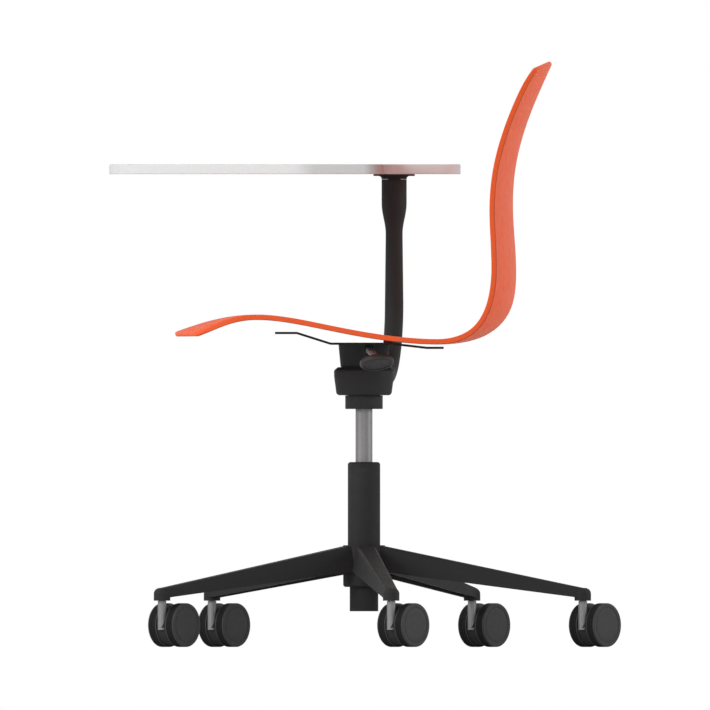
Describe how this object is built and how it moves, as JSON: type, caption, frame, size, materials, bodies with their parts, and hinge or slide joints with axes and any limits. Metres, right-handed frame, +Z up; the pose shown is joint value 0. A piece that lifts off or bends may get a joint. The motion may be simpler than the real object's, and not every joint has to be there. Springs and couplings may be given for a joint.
{
  "type": "tablet arm chair",
  "caption": "Swivel chair with a one-piece moulded shell on a gas column and castered star base, and a white writing tablet on a bent side arm.",
  "frame": {"origin": "on the floor, under the column's axis", "axes": "+Z up, the sitter faces -Y, +X is the sitter's left"},
  "size_m": [0.6814, 0.7166, 0.8196],
  "materials": {
    "orange_shell": "moulded polypropylene, fine satin texture",
    "white_board": "board faced with white laminate",
    "pale_edge": "glued plastic edge band",
    "black_nylon": "glass filled nylon, fine spark texture",
    "wheel_nylon": "moulded nylon wheel",
    "white_nylon": "natural bearing nylon",
    "black_paint": "black powder coat on steel",
    "black_cast": "black powder coat on cast aluminium",
    "grey_steel": "ground and plated steel",
    "bare_steel": "zinc plated"
  },
  "bodies": {
    "base": {"base_star": "black_nylon", "stem_sleeves": "white_nylon", "column_tube": "black_paint", "column_floor": "bare_steel", "column_bush": "white_nylon", "column_cap": "black_nylon", "thrust_bearing": "bare_steel"},
    "spindle": {"piston_rod": "bare_steel", "gas_piston": "black_nylon", "rod_clip": "bare_steel", "upper_race": "bare_steel"},
    "seat": {"gas_tube": "grey_steel", "rod_gland": "black_nylon", "mechanism_housing": "black_cast", "retaining_ring": "black_cast", "collar_washer": "black_nylon", "collar_bush": "black_nylon", "seat_plate": "black_paint", "plate_screws": "bare_steel", "seat_shell": "orange_shell", "seat_screws": "bare_steel", "lever_pin": "bare_steel"},
    "valve": {"valve_button": "bare_steel"},
    "lever": {"lever_rod": "grey_steel", "lever_paddle": "black_nylon"},
    "arm": {"arm_collar": "black_cast", "arm_set_screws": "bare_steel", "tablet_arm": "black_cast", "pivot_bush": "black_nylon", "pivot_set_screw": "bare_steel"},
    "tablet": {"pivot_plate": "black_paint", "tablet_screws": "bare_steel", "tablet_edge_band": "pale_edge", "tablet_board": "white_board"},
    "caster_1": {"caster_1_stem": "grey_steel", "caster_1_frame": "black_nylon", "caster_1_axle": "bare_steel"},
    "caster_1_left_wheel": {"caster_1_wheel_left": "wheel_nylon"},
    "caster_1_right_wheel": {"caster_1_wheel_right": "wheel_nylon"},
    "caster_2": {"caster_2_stem": "grey_steel", "caster_2_frame": "black_nylon", "caster_2_axle": "bare_steel"},
    "caster_2_left_wheel": {"caster_2_wheel_left": "wheel_nylon"},
    "caster_2_right_wheel": {"caster_2_wheel_right": "wheel_nylon"},
    "caster_3": {"caster_3_stem": "grey_steel", "caster_3_frame": "black_nylon", "caster_3_axle": "bare_steel"},
    "caster_3_left_wheel": {"caster_3_wheel_left": "wheel_nylon"},
    "caster_3_right_wheel": {"caster_3_wheel_right": "wheel_nylon"},
    "caster_4": {"caster_4_stem": "grey_steel", "caster_4_frame": "black_nylon", "caster_4_axle": "bare_steel"},
    "caster_4_left_wheel": {"caster_4_wheel_left": "wheel_nylon"},
    "caster_4_right_wheel": {"caster_4_wheel_right": "wheel_nylon"},
    "caster_5": {"caster_5_stem": "grey_steel", "caster_5_frame": "black_nylon", "caster_5_axle": "bare_steel"},
    "caster_5_left_wheel": {"caster_5_wheel_left": "wheel_nylon"},
    "caster_5_right_wheel": {"caster_5_wheel_right": "wheel_nylon"}
  },
  "joints": [
    {"name": "seat_swivel", "type": "hinge", "parent": "base", "child": "spindle", "pos_m": [0, 0, 0], "axis": [0, 0, 1], "continuous": true},
    {"name": "seat_lift", "type": "slide", "parent": "spindle", "child": "seat", "axis": [0, 0, 1], "range_m": [-0.055, 0.065]},
    {"name": "lever_pivot", "type": "hinge", "parent": "seat", "child": "lever", "pos_m": [0.017, 0, 0.4175], "axis": [0, -1, 0], "range_deg": [0, 5], "stiffness_Nm_per_rad": 2},
    {"name": "valve_push", "type": "slide", "parent": "seat", "child": "valve", "axis": [0, 0, 1], "range_m": [-0.0021, 0], "stiffness_N_per_m": 400},
    {"name": "arm_swivel", "type": "hinge", "parent": "seat", "child": "arm", "pos_m": [0, 0, 0], "axis": [0, 0, 1], "range_deg": [-8, 40]},
    {"name": "tablet_swing", "type": "hinge", "parent": "arm", "child": "tablet", "pos_m": [-0.29702, 0.0422, 0.662], "axis": [0, 0, -1], "range_deg": [0, 100]},
    {"name": "caster_1_swivel", "type": "hinge", "parent": "base", "child": "caster_1", "pos_m": [0.30967, 0.03802, 0.0648], "axis": [0, 0, 1], "continuous": true},
    {"name": "caster_1_left_roll", "type": "hinge", "parent": "caster_1", "child": "caster_1_left_wheel", "pos_m": [0.28869, 0.05502, 0.0307], "axis": [-0.6293, -0.7771, 0], "continuous": true},
    {"name": "caster_1_right_roll", "type": "hinge", "parent": "caster_1", "child": "caster_1_right_wheel", "pos_m": [0.28869, 0.05502, 0.0307], "axis": [-0.6293, -0.7771, 0], "continuous": true},
    {"name": "caster_2_swivel", "type": "hinge", "parent": "base", "child": "caster_2", "pos_m": [0.05953, 0.30627, 0.0648], "axis": [0, 0, 1], "continuous": true},
    {"name": "caster_2_left_roll", "type": "hinge", "parent": "caster_2", "child": "caster_2_left_wheel", "pos_m": [0.03855, 0.32326, 0.0307], "axis": [-0.6293, -0.7771, 0], "continuous": true},
    {"name": "caster_2_right_roll", "type": "hinge", "parent": "caster_2", "child": "caster_2_right_wheel", "pos_m": [0.03855, 0.32326, 0.0307], "axis": [-0.6293, -0.7771, 0], "continuous": true},
    {"name": "caster_3_swivel", "type": "hinge", "parent": "base", "child": "caster_3", "pos_m": [-0.27288, 0.15126, 0.0648], "axis": [0, 0, 1], "continuous": true},
    {"name": "caster_3_left_roll", "type": "hinge", "parent": "caster_3", "child": "caster_3_left_wheel", "pos_m": [-0.29386, 0.16825, 0.0307], "axis": [-0.6293, -0.7771, 0], "continuous": true},
    {"name": "caster_3_right_roll", "type": "hinge", "parent": "caster_3", "child": "caster_3_right_wheel", "pos_m": [-0.29386, 0.16825, 0.0307], "axis": [-0.6293, -0.7771, 0], "continuous": true},
    {"name": "caster_4_swivel", "type": "hinge", "parent": "base", "child": "caster_4", "pos_m": [-0.22818, -0.21278, 0.0648], "axis": [0, 0, 1], "continuous": true},
    {"name": "caster_4_left_roll", "type": "hinge", "parent": "caster_4", "child": "caster_4_left_wheel", "pos_m": [-0.24916, -0.19579, 0.0307], "axis": [-0.6293, -0.7771, 0], "continuous": true},
    {"name": "caster_4_right_roll", "type": "hinge", "parent": "caster_4", "child": "caster_4_right_wheel", "pos_m": [-0.24916, -0.19579, 0.0307], "axis": [-0.6293, -0.7771, 0], "continuous": true},
    {"name": "caster_5_swivel", "type": "hinge", "parent": "base", "child": "caster_5", "pos_m": [0.13186, -0.28277, 0.0648], "axis": [0, 0, 1], "continuous": true},
    {"name": "caster_5_left_roll", "type": "hinge", "parent": "caster_5", "child": "caster_5_left_wheel", "pos_m": [0.11087, -0.26578, 0.0307], "axis": [-0.6293, -0.7771, 0], "continuous": true},
    {"name": "caster_5_right_roll", "type": "hinge", "parent": "caster_5", "child": "caster_5_right_wheel", "pos_m": [0.11087, -0.26578, 0.0307], "axis": [-0.6293, -0.7771, 0], "continuous": true}
  ],
  "couplings": [
    {"joint": "valve_push", "follows": "lever_pivot", "m_per_rad": -0.024}
  ]
}
